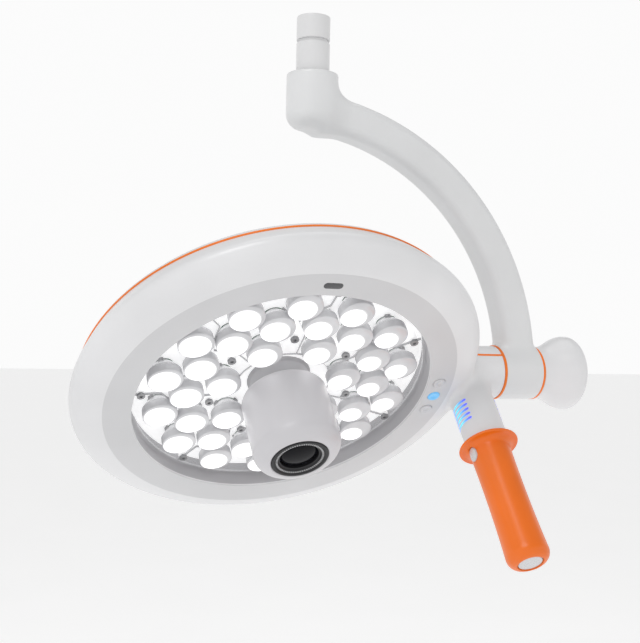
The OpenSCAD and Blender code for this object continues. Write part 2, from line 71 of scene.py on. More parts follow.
wall_low, wall_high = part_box("recess_wall")
HEAD_CENTRE = Vector(((wall_low.x + wall_high.x) / 2, HUB.y, HUB.z))
ROW = Matrix.Scale(MM, 4)
HEAD = frame_matrix(ACROSS, LIGHT, HEAD_CENTRE)
AXLE = frame_matrix(Vector((0, 0, -1)), ACROSS, Vector((0, HUB.y, HUB.z)))
HANDLE_X = 184.0
HANDLE = frame_matrix(ACROSS, GRIP, HEAD @ Vector((HANDLE_X, 0, 0)))

# ---------------------------------------------------------------- driving dimensions, as in the CAD
OPENING_R, BEZEL_R, HEAD_R, RIM_R, REAR_R = 130.0, 154.0, 179.5, 172.3, 171.8
BEZEL_H, RIM_H, REAR_DEPTH, SEAM, WALL = 33.6, 17.0, 32.0, 2.2, 3.0
RIM_FROM, RIM_TO = -12.0, 66.0
RIM_RX = (HEAD_R - BEZEL_R) / (1 - math.cos(math.radians(RIM_TO)))
RIM_RY = (BEZEL_H - RIM_H) / math.sin(math.radians(RIM_TO))
RIM_X = HEAD_R - RIM_RX
NECK_R, STUB_R, STUB_END, SLEEVE_END = 25.0, 19.4, 84.5, 203.4
HUB_R, RING_LEFT, RING_RIGHT, RING_W, GAP = 25.5, 189.7, 231.5, 2.4, 0.3
NECK_END = RING_LEFT - RING_W / 2 - GAP - HEAD_CENTRE.x / MM
BELL_FROM, BELL_TO, BELL_R = RING_RIGHT + RING_W / 2 + GAP, 276.0, 35.5
ARM_R, ARM_W, ARM_T, ARM_CORNER, ARM_TOP = 228.0, 33.0, 32.0, 9.0, 84.0
ARM_X, ARM_Z = -15.0, HUB.z / MM + 2.0
SOCKET_R, SOCKET_DEPTH = 23.2, 50.0
TURRET_R, TURRET_H, TURRET_FOOT, LENS_BEZEL_R = 37.5, 95.0, 26.5, 24.5
SEGMENTS, INNER_ANGLE = 7, 18.2
LENS_R, LENS_TOP, LENS_CROWN = 14.9, 24.0, 2.0
FLANGE_TOP = 19.0
STEP = 360.0 / SEGMENTS
LENS_PLACES = [(54.5, 0.0), (83.0, -STEP / 4), (83.0, STEP / 4), (106.0, 0.0), (106.0, -STEP / 2)]
CONTROL_R, KEY_R, KEY_ANGLES = 141.0, 5.6, {"key_plus": 10.0, "key_light": 2.4, "key_minus": -5.2}


# ---------------------------------------------------------------- materials
def shader(name):
    """A new material with its tree, its Principled shader and the object's own coordinates."""
    material = bpy.data.materials.new(name)
    material.use_nodes = True
    tree = material.node_tree
    principled = tree.nodes["Principled BSDF"]
    coords = tree.nodes.new("ShaderNodeTexCoord")
    return material, tree, principled, coords


def ramp(tree, factor, low, high):
    """A colour that runs from low to high as factor goes from 0.3 to 0.7."""
    node = tree.nodes.new("ShaderNodeValToRGB")
    node.color_ramp.elements[0].position = 0.3
    node.color_ramp.elements[1].position = 0.7
    node.color_ramp.elements[0].color = (*low, 1)
    node.color_ramp.elements[1].color = (*high, 1)
    tree.links.new(factor, node.inputs["Fac"])
    return node.outputs["Color"]


def noise(tree, coords, scale, detail=3.0, stretch=(1, 1, 1)):
    mapping = tree.nodes.new("ShaderNodeMapping")
    mapping.inputs["Scale"].default_value = stretch
    node = tree.nodes.new("ShaderNodeTexNoise")
    node.inputs["Scale"].default_value = scale
    node.inputs["Detail"].default_value = detail
    tree.links.new(coords.outputs["Object"], mapping.inputs["Vector"])
    tree.links.new(mapping.outputs["Vector"], node.inputs["Vector"])
    return node.outputs["Fac"]


def bump(tree, principled, height, strength, distance):
    node = tree.nodes.new("ShaderNodeBump")
    node.inputs["Strength"].default_value = strength
    node.inputs["Distance"].default_value = distance
    tree.links.new(height, node.inputs["Height"])
    tree.links.new(node.outputs["Normal"], principled.inputs["Normal"])


def remap(tree, value, low, high):
    node = tree.nodes.new("ShaderNodeMapRange")
    node.inputs["To Min"].default_value = low
    node.inputs["To Max"].default_value = high
    tree.links.new(value, node.inputs["Value"])
    return node.outputs["Result"]


def tint(color, factor):
    return tuple(min(1.0, c * factor) for c in color)


# How far the roughness wanders to each side of a finish's own value
GLOSS_SPREAD = 0.05


def finish_of(name, color, rough, grain=900.0, relief=0.05, coat=0.0, metal=0.0,
              variation=0.03, stretch=(1, 1, 1), glow=None, glow_strength=0.0, ior=1.46):
    """A moulded, painted or machined finish: cloudy colour, uneven gloss and a fine grain in the surface."""
    material, tree, principled, coords = shader(name)
    cloud = noise(tree, coords, 14.0, 2.0, stretch)
    color_out = ramp(tree, cloud, tint(color, 1 - variation), tint(color, 1 + variation))
    tree.links.new(color_out, principled.inputs["Base Color"])
    fine = noise(tree, coords, grain, 2.0, stretch)
    tree.links.new(remap(tree, fine, max(0.02, rough - GLOSS_SPREAD), rough + GLOSS_SPREAD),
                   principled.inputs["Roughness"])
    if relief:
        bump(tree, principled, fine, relief, 0.0002)
    principled.inputs["Metallic"].default_value = metal
    principled.inputs["IOR"].default_value = ior
    principled.inputs["Coat Weight"].default_value = coat
    principled.inputs["Coat Roughness"].default_value = 0.12
    if glow:
        principled.inputs["Emission Color"].default_value = (*glow, 1)
        principled.inputs["Emission Strength"].default_value = glow_strength
    return material


def lens_body():
    """Clear moulded lens glowing from the LED behind it: grey in its body, white on a patch of its face where the
    light comes out; that patch is partly painted highlight.
    """
    material, tree, principled, coords = shader("lens_body")
    attribute = tree.nodes.new("ShaderNodeAttribute")
    attribute.attribute_name = "glow_and_painted_highlight"
    cloud = noise(tree, coords, 60.0, 1.0)
    grey = ramp(tree, cloud, (0.56, 0.56, 0.575), (0.64, 0.64, 0.655))
    # the white patch: real glow, but its place and size on each face are painted highlight; it drives both colour
    # and emission strength
    mix = tree.nodes.new("ShaderNodeMix")
    mix.data_type = "RGBA"
    tree.links.new(attribute.outputs["Fac"], mix.inputs["Factor"])
    tree.links.new(grey, mix.inputs["A"])
    mix.inputs["B"].default_value = (0.97, 0.97, 0.97, 1)
    tree.links.new(mix.outputs["Result"], principled.inputs["Base Color"])
    tree.links.new(mix.outputs["Result"], principled.inputs["Emission Color"])
    strength = remap(tree, attribute.outputs["Fac"], 0.10, 1.0)
    tree.links.new(strength, principled.inputs["Emission Strength"])
    principled.inputs["Roughness"].default_value = 0.12
    principled.inputs["Coat Weight"].default_value = 0.5
    principled.inputs["Coat Roughness"].default_value = 0.06
    return material


def slot_glow():
    """Backlit slots that run from cyan at the outside of each slot to violet-blue at its end."""
    material, tree, principled, _ = shader("slot_glow")
    attribute = tree.nodes.new("ShaderNodeAttribute")
    attribute.attribute_name = "blend"
    color = ramp(tree, attribute.outputs["Fac"], (0.14, 0.62, 0.80), (0.10, 0.13, 0.78))
    tree.links.new(color, principled.inputs["Base Color"])
    tree.links.new(color, principled.inputs["Emission Color"])
    principled.inputs["Emission Strength"].default_value = 0.75
    principled.inputs["Roughness"].default_value = 0.3
    return material


def clear_sheet():
    """Thin clear acrylic, mostly see-through, with a gloss."""
    material, tree, principled, coords = shader("clear_sheet")
    fine = noise(tree, coords, 40.0, 1.0)
    tree.links.new(ramp(tree, fine, (0.86, 0.87, 0.88), (0.95, 0.96, 0.97)),
                   principled.inputs["Base Color"])
    principled.inputs["Roughness"].default_value = 0.06
    principled.inputs["Alpha"].default_value = 0.05
    return material


MATERIALS = {
    "cover_white": finish_of("cover_white", (0.75, 0.75, 0.76), 0.34, coat=0.2),
    # partly painted shade: the down-facing face ring is darker grey than the cover, partly standing in for the
    # shade on it
    "bezel_grey": finish_of("bezel_grey", (0.62, 0.62, 0.63), 0.42),
    "arm_paint": finish_of("arm_paint", (0.71, 0.715, 0.72), 0.34, grain=500, relief=0.08, coat=0.2),
    "spigot_paint": finish_of("spigot_paint", (0.70, 0.70, 0.705), 0.3, coat=0.2),
    "recess_grey": finish_of("recess_grey", (0.44, 0.435, 0.45), 0.5),
    # painted shade: darker grey than the turret, standing in for the shade at its foot
    "turret_foot": finish_of("turret_foot", (0.50, 0.495, 0.51), 0.45),
    # painted light: the reflector plate glows white, standing in for the LED light falling on it
    "reflector_white": finish_of("reflector_white", (0.88, 0.88, 0.88), 0.4, glow=(1, 1, 1),
                                 glow_strength=0.5),
    "lens_clear": lens_body(),
    "turret_grey": finish_of("turret_grey", (0.60, 0.59, 0.61), 0.36, coat=0.15),
    "camera_black": finish_of("camera_black", (0.012, 0.012, 0.014), 0.45),
    "camera_glass": finish_of("camera_glass", (0.004, 0.004, 0.006), 0.10, relief=0.0, ior=1.22),
    "bezel_dots": finish_of("bezel_dots", (0.55, 0.55, 0.56), 0.4),
    "window_black": finish_of("window_black", (0.05, 0.05, 0.055), 0.2, coat=0.6),
    "orange_seal": finish_of("orange_seal", (0.86, 0.19, 0.014), 0.38, variation=0.05),
    "orange_grip": finish_of("orange_grip", (0.82, 0.155, 0.006), 0.34, grain=600, relief=0.1,
                             variation=0.06, coat=0.1),
    "core_white": finish_of("core_white", (0.72, 0.72, 0.73), 0.4),
    "button_grey": finish_of("button_grey", (0.60, 0.60, 0.615), 0.28, coat=0.5),
    "key_blue": finish_of("key_blue", (0.13, 0.42, 0.72), 0.3, coat=0.5, glow=(0.16, 0.5, 0.85),
                          glow_strength=0.35),
    "glow_blue": slot_glow(),
    "steel": finish_of("steel", (0.55, 0.55, 0.56), 0.3, metal=1.0, stretch=(1, 1, 6), grain=300),
    "bronze": finish_of("bronze", (0.55, 0.38, 0.18), 0.35, metal=1.0, grain=300),
    "heat_sink_metal": finish_of("heat_sink_metal", (0.62, 0.62, 0.64), 0.45, metal=1.0),
    "circuit_board": finish_of("circuit_board", (0.02, 0.13, 0.06), 0.4, coat=0.4, variation=0.2),
    "led_phosphor": finish_of("led_phosphor", (0.9, 0.8, 0.4), 0.5, glow=(1, 0.95, 0.8),
                              glow_strength=1.0),
    "screw_dark": finish_of("screw_dark", (0.34, 0.34, 0.35), 0.35, metal=0.6),
    "clip_dark": finish_of("clip_dark", (0.30, 0.30, 0.31), 0.5),
    "clear_sheet": clear_sheet(),
}


# ---------------------------------------------------------------- mesh helpers
def link(name, mesh, finishes):
    obj = bpy.data.objects.new(name, mesh)
    bpy.context.scene.collection.objects.link(obj)
    for finish in finishes:
        mesh.materials.append(MATERIALS[finish])
    return obj


def soften(bm, angle=32.0):
    """Smooth faces, with every edge sharper than angle kept sharp."""
    limit = math.radians(angle)
    for face in bm.faces:
        face.smooth = True
    for edge in bm.edges:
        edge.smooth = not (len(edge.link_faces) == 2 and edge.calc_face_angle(0.0) > limit)


def piece(name, bm, matrix, finishes, body, replaces=(), angle=32.0, oriented=False):
    """Turns a bmesh in millimetres into a finished piece that rides on its body."""
    if not oriented:
        bmesh.ops.recalc_face_normals(bm, faces=bm.faces)
    soften(bm, angle)
    mesh = bpy.data.meshes.new(name)
    bm.to_mesh(mesh)
    bm.free()
    mesh.transform(matrix)
    if matrix.to_3x3().determinant() < 0:
        mesh.flip_normals()
    obj = link(name, mesh, finishes)
    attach(obj, body)
    if replaces:
        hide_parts(*replaces)
    return obj


def arc(cx, cz, rx, rz, start, end, count):
    angles = [math.radians(start + (end - start) * i / count) for i in range(count + 1)]
    return [(cx + rx * math.cos(a), cz + rz * math.sin(a)) for a in angles]


def rounded(corners, count=5):
    """A closed outline from (r, z, fillet radius) corners, each rounded by an arc that touches both sides."""
    points = []
    total = len(corners)
    for i, (x, z, radius) in enumerate(corners):
        here = Vector((x, z))
        if radius <= 0:
            points.append((x, z))
            continue
        before = (Vector(corners[i - 1][:2]) - here).normalized()
        after = (Vector(corners[(i + 1) % total][:2]) - here).normalized()
        half = before.angle(after) / 2
        centre = here + (before + after).normalized() * (radius / math.sin(half))
        first = here + before * (radius / math.tan(half)) - centre
        last = here + after * (radius / math.tan(half)) - centre
        for k in range(count + 1):
            swing = first.lerp(last, k / count).normalized() * radius
            points.append(tuple(centre + swing))
    return points


def lathe(bm, profile, steps=128, centre=(0, 0)):
    """Revolves a closed (r, z) outline about Z; points on the axis are merged."""
    columns = []
    for k in range(steps):
        a = 2 * math.pi * k / steps
        columns.append([bm.verts.new((centre[0] + r * math.cos(a), centre[1] + r * math.sin(a), z))
                        for r, z in profile])
    count = len(profile)
    for k in range(steps):
        now, then = columns[k], columns[(k + 1) % steps]
        for i in range(count):
            j = (i + 1) % count
            if profile[i][0] < 1e-6 and profile[j][0] < 1e-6:
                continue
            bm.faces.new((now[i], then[i], then[j], now[j]))
    on_axis = [v for column in columns for v, (r, _) in zip(column, profile) if r < 1e-6]
    if on_axis:
        bmesh.ops.remove_doubles(bm, verts=on_axis, dist=1e-5)
    return bm


def lathe_piece(name, profile, matrix, finish, body, replaces=(), steps=128, angle=32.0):
    bm = lathe(bmesh.new(), profile, steps)
    return piece(name, bm, matrix, [finish], body, replaces, angle)


def cutter(bm, matrix):
    """A closed bmesh as a hidden object for cutting."""
    bmesh.ops.recalc_face_normals(bm, faces=bm.faces)
    mesh = bpy.data.meshes.new("cutter")
    bm.to_mesh(mesh)
    bm.free()
    mesh.transform(matrix)
    obj = bpy.data.objects.new("cutter", mesh)
    bpy.context.scene.collection.objects.link(obj)
    return obj


def cut(obj, tools, angle=32.0):
    """Subtracts the tools from obj and removes them."""
    for tool in tools:
        modifier = obj.modifiers.new("cut", "BOOLEAN")
        modifier.operation = "DIFFERENCE"
        modifier.solver = "EXACT"
        modifier.object = tool
    bpy.context.view_layer.update()
    graph = bpy.context.evaluated_depsgraph_get()
    mesh = bpy.data.meshes.new_from_object(obj.evaluated_get(graph))
    obj.modifiers.clear()
    old = obj.data
    obj.data = mesh
    mesh.name = obj.name
    bpy.data.meshes.remove(old)
    for tool in tools:
        bpy.data.objects.remove(tool)
    bm = bmesh.new()
    bm.from_mesh(mesh)
    soften(bm, angle)
    bm.to_mesh(mesh)
    bm.free()


def rod(r, low, high, sides=48, x=0.0, y=0.0):
    """A plain closed cylinder outline, used only as a cutter."""
    return lathe(bmesh.new(), [(0, low), (r, low), (r, high), (0, high)], sides, (x, y))


# ---------------------------------------------------------------- blended forms (distance fields)
def blend_union(a, b, k):
    """Smooth union of two distance fields: a fillet of about k where they meet."""
    h = np.clip(0.5 + 0.5 * (b - a) / k, 0, 1)
    return b * (1 - h) + a * h - k * h * (1 - h)


def box_2d(x, y, half_x, half_y, corner):
    qx, qy = np.abs(x) - half_x + corner, np.abs(y) - half_y + corner
    return np.hypot(np.maximum(qx, 0), np.maximum(qy, 0)) + np.minimum(np.maximum(qx, qy), 0) - corner


def outline_2d(x, y, outline):
    """Signed distance to a closed outline, negative inside."""
    best = np.full(x.shape, 1e9)
    inside = np.zeros(x.shape, bool)
    for (x0, y0), (x1, y1) in zip(outline, outline[1:] + outline[:1]):
        dx, dy = x1 - x0, y1 - y0
        length2 = dx * dx + dy * dy
        if length2 < 1e-12:
            continue
        t = np.clip(((x - x0) * dx + (y - y0) * dy) / length2, 0, 1)
        best = np.minimum(best, np.hypot(x - x0 - t * dx, y - y0 - t * dy))
        if y0 != y1:
            crosses = (y0 > y) != (y1 > y)
            inside ^= crosses & (x < (x1 - x0) * (y - y0) / (y1 - y0) + x0)
    return np.where(inside, -best, best)


def surface_of(field, low, high, cell):
    """Mesh of field = 0 in a box: one vertex in each cell that it crosses, pulled onto the surface."""
    counts = [int(math.ceil((b - a) / cell)) + 1 for a, b in zip(low, high)]
    axes = [low[i] + cell * np.arange(counts[i]) for i in range(3)]
    grid = np.stack(np.meshgrid(*axes, indexing="ij"), -1)
    values = field(grid.reshape(-1, 3)).reshape(counts)
    neg = values < 0
    corner_sum = np.zeros([c - 1 for c in counts], int)
    for i in (0, 1):
        for j in (0, 1):
            for k in (0, 1):
                corner_sum += neg[i:counts[0] - 1 + i, j:counts[1] - 1 + j, k:counts[2] - 1 + k]
    mixed = (corner_sum > 0) & (corner_sum < 8)
    index = -np.ones(mixed.shape, int)
    cells = np.argwhere(mixed)
    index[mixed] = np.arange(len(cells))
    points = np.array(low) + cell * (cells + 0.5)
    for _ in range(6):
        here = field(points)
        slope = np.stack([(field(points + d) - field(points - d)) / 0.1
                          for d in np.eye(3) * 0.05], -1)
        move = -(here / np.maximum((slope ** 2).sum(-1), 0.2))[:, None] * slope
        points = points + np.clip(move, -cell, cell)
    quads = []
    for axis in range(3):
        a, b = [(1, 2), (2, 0), (0, 1)][axis]
        first = [slice(1, -1)] * 3
        first[axis] = slice(0, -1)
        second = list(first)
        second[axis] = slice(1, None)
        change = neg[tuple(first)] != neg[tuple(second)]
        flip = neg[tuple(first)]
        where = np.argwhere(change)
        base = where.copy()
        base[:, a] += 1
        base[:, b] += 1
        ring = []
        for da, db in ((1, 1), (0, 1), (0, 0), (1, 0)):
            at = base.copy()
            at[:, a] -= da
            at[:, b] -= db
            ring.append(index[tuple(at.T)])
        quad = np.stack(ring, -1)
        turned = flip[tuple(where.T)]
        quad[~turned] = quad[~turned][:, ::-1]
        quads.append(quad)
    quads = np.concatenate(quads)
    quads = quads[(quads >= 0).all(1)]
    mesh = bpy.data.meshes.new("surface")
    mesh.from_pydata(points.tolist(), [], quads.tolist())
    bm = bmesh.new()
    bm.from_mesh(mesh)
    bpy.data.meshes.remove(mesh)
    return bm


def slice_off(bm, point, normal, fill):
    """Removes what is on the normal's side of a plane."""
    everything = list(bm.verts) + list(bm.edges) + list(bm.faces)
    result = bmesh.ops.bisect_plane(bm, geom=everything, plane_co=point, plane_no=normal,
                                    clear_outer=True, dist=1e-4)
    if fill:
        edges = [e for e in result["geom_cut"] if isinstance(e, bmesh.types.BMEdge)]
        bmesh.ops.holes_fill(bm, edges=edges, sides=0)


def thicken(bm, depth):
    """Turns an open sheet into a closed shell that goes depth inwards."""
    bm.normal_update()
    inner = {v: bm.verts.new(v.co - v.normal * depth) for v in list(bm.verts)}
    border = [e for e in bm.edges if len(e.link_faces) == 1]
    outer_faces = list(bm.faces)
    for face in outer_faces:
        bm.faces.new([inner[v] for v in reversed(face.verts)])
    for edge in border:
        loop = edge.link_loops[0] if edge.link_loops else None
        a, b = (loop.vert, loop.link_loop_next.vert) if loop else edge.verts
        bm.faces.new((b, a, inner[a], inner[b]))


# ---------------------------------------------------------------- yoke arm and spigot
def arm_field(p):
    x, y, z = p[:, 0], p[:, 1], p[:, 2]
    reach = np.hypot(x, y)
    middle = (-GAP - SOCKET_DEPTH) / 2
    half = (SOCKET_DEPTH - GAP) / 2
    corner = np.where(z < middle, 14.0, 2.0)
    qx, qz = reach - SOCKET_R + corner, np.abs(z - middle) - half + corner
    socket = (np.hypot(np.maximum(qx, 0), np.maximum(qz, 0))
              + np.minimum(np.maximum(qx, qz), 0) - corner)
    dx, dz = x - ARM_X, z - ARM_Z
    angle = np.clip(np.arctan2(dz, dx), 0, math.radians(ARM_TOP))
    ex, ez = dx - ARM_R * np.cos(angle), dz - ARM_R * np.sin(angle)
    radial = ex * np.cos(angle) + ez * np.sin(angle)
    along = -ex * np.sin(angle) + ez * np.cos(angle)
    section = box_2d(radial, y, ARM_W / 2, ARM_T / 2, ARM_CORNER)
    arm = np.where(np.abs(along) < 1e-6, section, np.hypot(np.maximum(section, 0), along))
    arm = np.where((np.abs(along) >= 1e-6) & (section < 0), np.abs(along), arm)
    hub_reach = np.hypot(y, z - HUB.z / MM) - HUB_R
    hub_centre = (RING_LEFT + RING_RIGHT) / 2
    hub = np.maximum(hub_reach, np.abs(x - hub_centre) - 26)
    return blend_union(blend_union(socket, arm, 15.0), hub, 7.0)


def build_arm():
    bm = surface_of(arm_field, (-27, -30, -294), (240, 30, 4), 1.5)
    left, right = RING_LEFT + RING_W / 2, RING_RIGHT - RING_W / 2
    obj = piece("yoke_arm", bm, ROW, ["arm_paint"], "arm", ["arm_casting"])
    bore = rod(15.9, left - 5, right + 5)
    journal = rod(13.2, -44, 10)
    screw_hole = rod(4.1, 14, 30)
    ends = [cutter(rod(34, left - 12, left), AXLE), cutter(rod(34, right, right + 12), AXLE)]
    cut(obj, ends + [cutter(bore, AXLE), cutter(journal, ROW),
              cutter(screw_hole, Matrix.Translation((0, 0, -32 * MM))
                     @ Matrix.Rotation(math.radians(-90), 4, "X") @ ROW)])


def build_spigot():
    profile = rounded([(5, -44, 0), (11.95, -44, 1), (11.95, -34.5, 0), (9, -34.5, 0), (9, -29.5, 0),
                       (11.95, -29.5, 0), (11.95, 0.05, 0), (15, 0.05, 0.3), (15, 27, 0.4), (13, 27, 0),
                       (13, 30, 0), (15, 30, 0.4), (15, 51, 1.0), (5, 51, 0.5)])
    lathe_piece("spigot", profile, ROW, "spigot_paint", "spigot", ["spigot_pin"])


# ---------------------------------------------------------------- head covers
def front_arcs():
    """Outer outline of the front housing, from the seam round the rim to the bezel's edge."""
    return arc(RIM_X, RIM_H, RIM_RX, RIM_RY, RIM_FROM, RIM_TO, 26)


def dome(r, edge, depth):
    return -SEAM / 2 - depth * max(0.0, 1 - (r / edge) ** 3) ** 0.6


def rear_arcs(edge=REAR_R, depth=REAR_DEPTH - SEAM / 2, count=40):
    """Outer outline of the rear cover from its middle to the seam."""
    radii = [edge * math.sin(math.radians(90 * i / count)) for i in range(count + 1)]
    return [(r, dome(r, edge, depth)) for r in radii]


def head_outline():
    return ([(0, BEZEL_H)] + rear_arcs(count=24)[:-1] + [(REAR_R, -SEAM / 2), (RIM_R, SEAM / 2)]
            + front_arcs())


OUTLINE = head_outline()


def disc_field(p):
    return outline_2d(np.hypot(p[:, 0], p[:, 1]), p[:, 2], OUTLINE)


def handle_points(p):
    """Points of the head's frame in the handle's frame."""
    change = HANDLE.inverted() @ HEAD
    turn, shift = np.array(change.to_3x3()), np.array(change.translation)
    return p @ turn.T + shift


def head_field(p):
    disc = disc_field(p)
    neck = np.hypot(p[:, 1], p[:, 2]) - NECK_R
    neck = np.maximum(neck, 100 - p[:, 0])
    q = handle_points(p)
    stub = np.maximum(np.hypot(q[:, 0], q[:, 1]) - STUB_R, -q[:, 2])
    reach = np.hypot(p[:, 0], p[:, 1])
    front = np.clip((reach - BEZEL_R - 3) / 20, 0.02, 1) * 20
    rear = np.clip((reach - 108) / 30, 0.02, 1) * 20
    side = np.clip((p[:, 2] + 12) / 20, 0, 1)
    width = rear + (front - rear) * side * side * (3 - 2 * side)
    stub_width = np.clip((reach - BEZEL_R - 2) / 8, 0.03, 1) * 9
    return blend_union(blend_union(disc, neck, width), stub, stub_width)


def neck_sheet():
    """The part of the head's outer form where neck and stub flow out of the disc."""
    low, high = (98, -84, -46), (NECK_END + 4, 84, STUB_END + 4)
    bm = surface_of(head_field, low, high, 1.5)
    points = np.array([v.co for v in bm.verts])
    raised = disc_field(points) > 0.02
    bm.verts.ensure_lookup_table()
    doomed = [f for f in bm.faces if not any(raised[v.index] for v in f.verts)]
    bmesh.ops.delete(bm, geom=doomed, context="FACES")
    slice_off(bm, (NECK_END, 0, 0), (1, 0, 0), False)
    direction = (HEAD.inverted().to_3x3() @ GRIP).normalized()
    slice_off(bm, Vector((HANDLE_X, 0, 0)) + direction * STUB_END, direction, False)
    bm.normal_update()
    centres = np.array([f.calc_center_median() for f in bm.faces])
    normals = np.array([f.normal for f in bm.faces])
    if (head_field(centres + normals * 0.4) < head_field(centres - normals * 0.4)).mean() > 0.5:
        bmesh.ops.reverse_faces(bm, faces=bm.faces)
        bm.normal_update()
    return bm


def add_to(target, source):
    """Joins a bmesh into another."""
    mesh = bpy.data.meshes.new("join")
    source.to_mesh(mesh)
    source.free()
    target.from_mesh(mesh)
    bpy.data.meshes.remove(mesh)


def build_covers():
    sheet = neck_sheet()
    rear_sheet, band_sheet = sheet.copy(), sheet.copy()
    # front housing
    slice_off(sheet, (0, 0, SEAM / 2), (0, 0, -1), False)
    thicken(sheet, 2.6)
    inner = (arc(RIM_X, RIM_H, RIM_RX - WALL, RIM_RY - 2.2, RIM_TO - 2, RIM_FROM, 14)
             + [(RIM_R - WALL, SEAM / 2), (RIM_R, SEAM / 2)])
    lip = arc(OPENING_R + 0.7, BEZEL_H - 0.7, 0.7, 0.7, 90, 180, 4)
    profile = inner + front_arcs() + lip + [(OPENING_R, BEZEL_H - 2.2)]
    ring = lathe(bmesh.new(), profile, 256)
    # the flat face ring takes bezel_grey, whose darker grey is partly painted shade
    for face in ring.faces:
        middle = face.calc_center_median()
        if middle.z > BEZEL_H - 0.8 and math.hypot(middle.x, middle.y) < BEZEL_R:
            face.material_index = 1
    body = piece("front_housing_shell", ring, HEAD, ["cover_white", "bezel_grey"], "head",
                 ["front_housing"], 25.0)
    tools = []
    for angle in KEY_ANGLES.values():
        a = math.radians(angle)
        hole = rod(KEY_R + GAP, 20, 40, 48, CONTROL_R * math.cos(a), CONTROL_R * math.sin(a))
        tools.append(cutter(hole, HEAD))
    tools.append(cutter(stadium(16.7, 7.0, BEZEL_H - 3, 10, 0.0), HEAD @ WINDOW))
    cut(body, tools, 25.0)
    piece("neck_shell", sheet, HEAD, ["cover_white"], "head", oriented=True)
    # rear cover
    slice_off(rear_sheet, (0, 0, -SEAM / 2), (0, 0, 1), False)
    thicken(rear_sheet, 2.6)
    shell = rear_arcs() + list(reversed(rear_arcs(REAR_R - WALL, REAR_DEPTH - WALL - SEAM / 2)))
    rear = lathe(bmesh.new(), shell, 256)
    rear_obj = piece("rear_cover_shell", rear, HEAD, ["cover_white"], "head", ["rear_cover"])
    tools = []
    for k in range(6):
        a = math.radians(60 * k + 30)
        x, y = 158 * math.cos(a), 158 * math.sin(a)
        pocket = lathe(bmesh.new(), [(0, -40), (4, -40), (4, -4.1), (0, -4.1)], 40, (x, y))
        tools.append(cutter(pocket, HEAD))
    cut(rear_obj, tools)
    piece("neck_rear_shell", rear_sheet, HEAD, ["cover_white"], "head", oriented=True)
    # coloured seam: a ring between the covers and its run along the neck
    slice_off(band_sheet, (0, 0, SEAM / 2), (0, 0, 1), False)
    slice_off(band_sheet, (0, 0, -SEAM / 2), (0, 0, -1), False)
    for v in band_sheet.verts:
        v.co += v.normal * 0.12
    thicken(band_sheet, 1.6)
    rim = lathe(bmesh.new(), rounded([(RIM_R - 5, -1.5, 0), (RIM_R - 0.3, -1.5, 0.6),
                                      (RIM_R + 0.5, -0.4, 0.6),
                                      (RIM_R + 0.5, 1.2, 0.5), (RIM_R - 5, 1.2, 0)], 4), 256)
    add_to(rim, band_sheet)
    piece("seam_strip", rim, HEAD, ["orange_seal"], "head", ["seam_gasket"])


# ---------------------------------------------------------------- controls
WINDOW = Matrix.Translation((0, CONTROL_R, 0))


def stadium(length, width, low, high, bevel, n=12):
    """A slot-shaped block along X with rounded top edges."""
    bm = bmesh.new()
    straight = (length - width) / 2

    def outline(inset, z):
        r = width / 2 - inset
        ends = [(straight + r * math.cos(a), r * math.sin(a))
                for a in [math.radians(-90 + 180 * k / n) for k in range(n + 1)]]
        ends += [(-x, -y) for x, y in ends]
        return [bm.verts.new((x, y, z)) for x, y in ends]

    rings = [outline(0, low)]
    for k in range(4 if bevel else 1):
        a = math.radians(90 * k / 3) if bevel else 0
        rings.append(outline(bevel * (1 - math.cos(a)), high - bevel + bevel * math.sin(a)))
    for one, two in zip(rings, rings[1:]):
        for i in range(len(one)):
            j = (i + 1) % len(one)
            bm.faces.new((one[i], one[j], two[j], two[i]))
    bm.faces.new(list(reversed(rings[0])))
    bm.faces.new(rings[-1])
    return bm


def build_controls():
    for name, angle in KEY_ANGLES.items():
        a = math.radians(angle)
        top = BEZEL_H + 0.9
        profile = rounded([(0, 28.0, 0), (KEY_R, 28.0, 0), (KEY_R, top, 0.9), (KEY_R * 0.55, top - 0.1, 1.5),
                           (KEY_R * 0.3, top - 0.75, 1.0), (0, top - 0.8, 0)])
        finish = "key_blue" if name == "key_light" else "button_grey"
        bm = lathe(bmesh.new(), profile, 64, (CONTROL_R * math.cos(a), CONTROL_R * math.sin(a)))
        body = {"key_plus": "plus_key", "key_light": "light_key", "key_minus": "minus_key"}[name]
        piece(name + "_cap", bm, HEAD, [finish], body, [name])
    window = stadium(16.3, 6.6, BEZEL_H - 2, BEZEL_H + 0.2, 0.5)
    piece("sensor_cover", window, HEAD @ WINDOW, ["window_black"], "head",
          ["sensor_window"])


# ---------------------------------------------------------------- optics
def polar(r, angle):
    a = math.radians(angle)
    return r * math.cos(a), r * math.sin(a)


def crown(r):
    """Height of a lens face above its rim, at distance r from its middle."""
    return LENS_CROWN * math.sqrt(max(0.0, 1 - (r / LENS_R) ** 2))


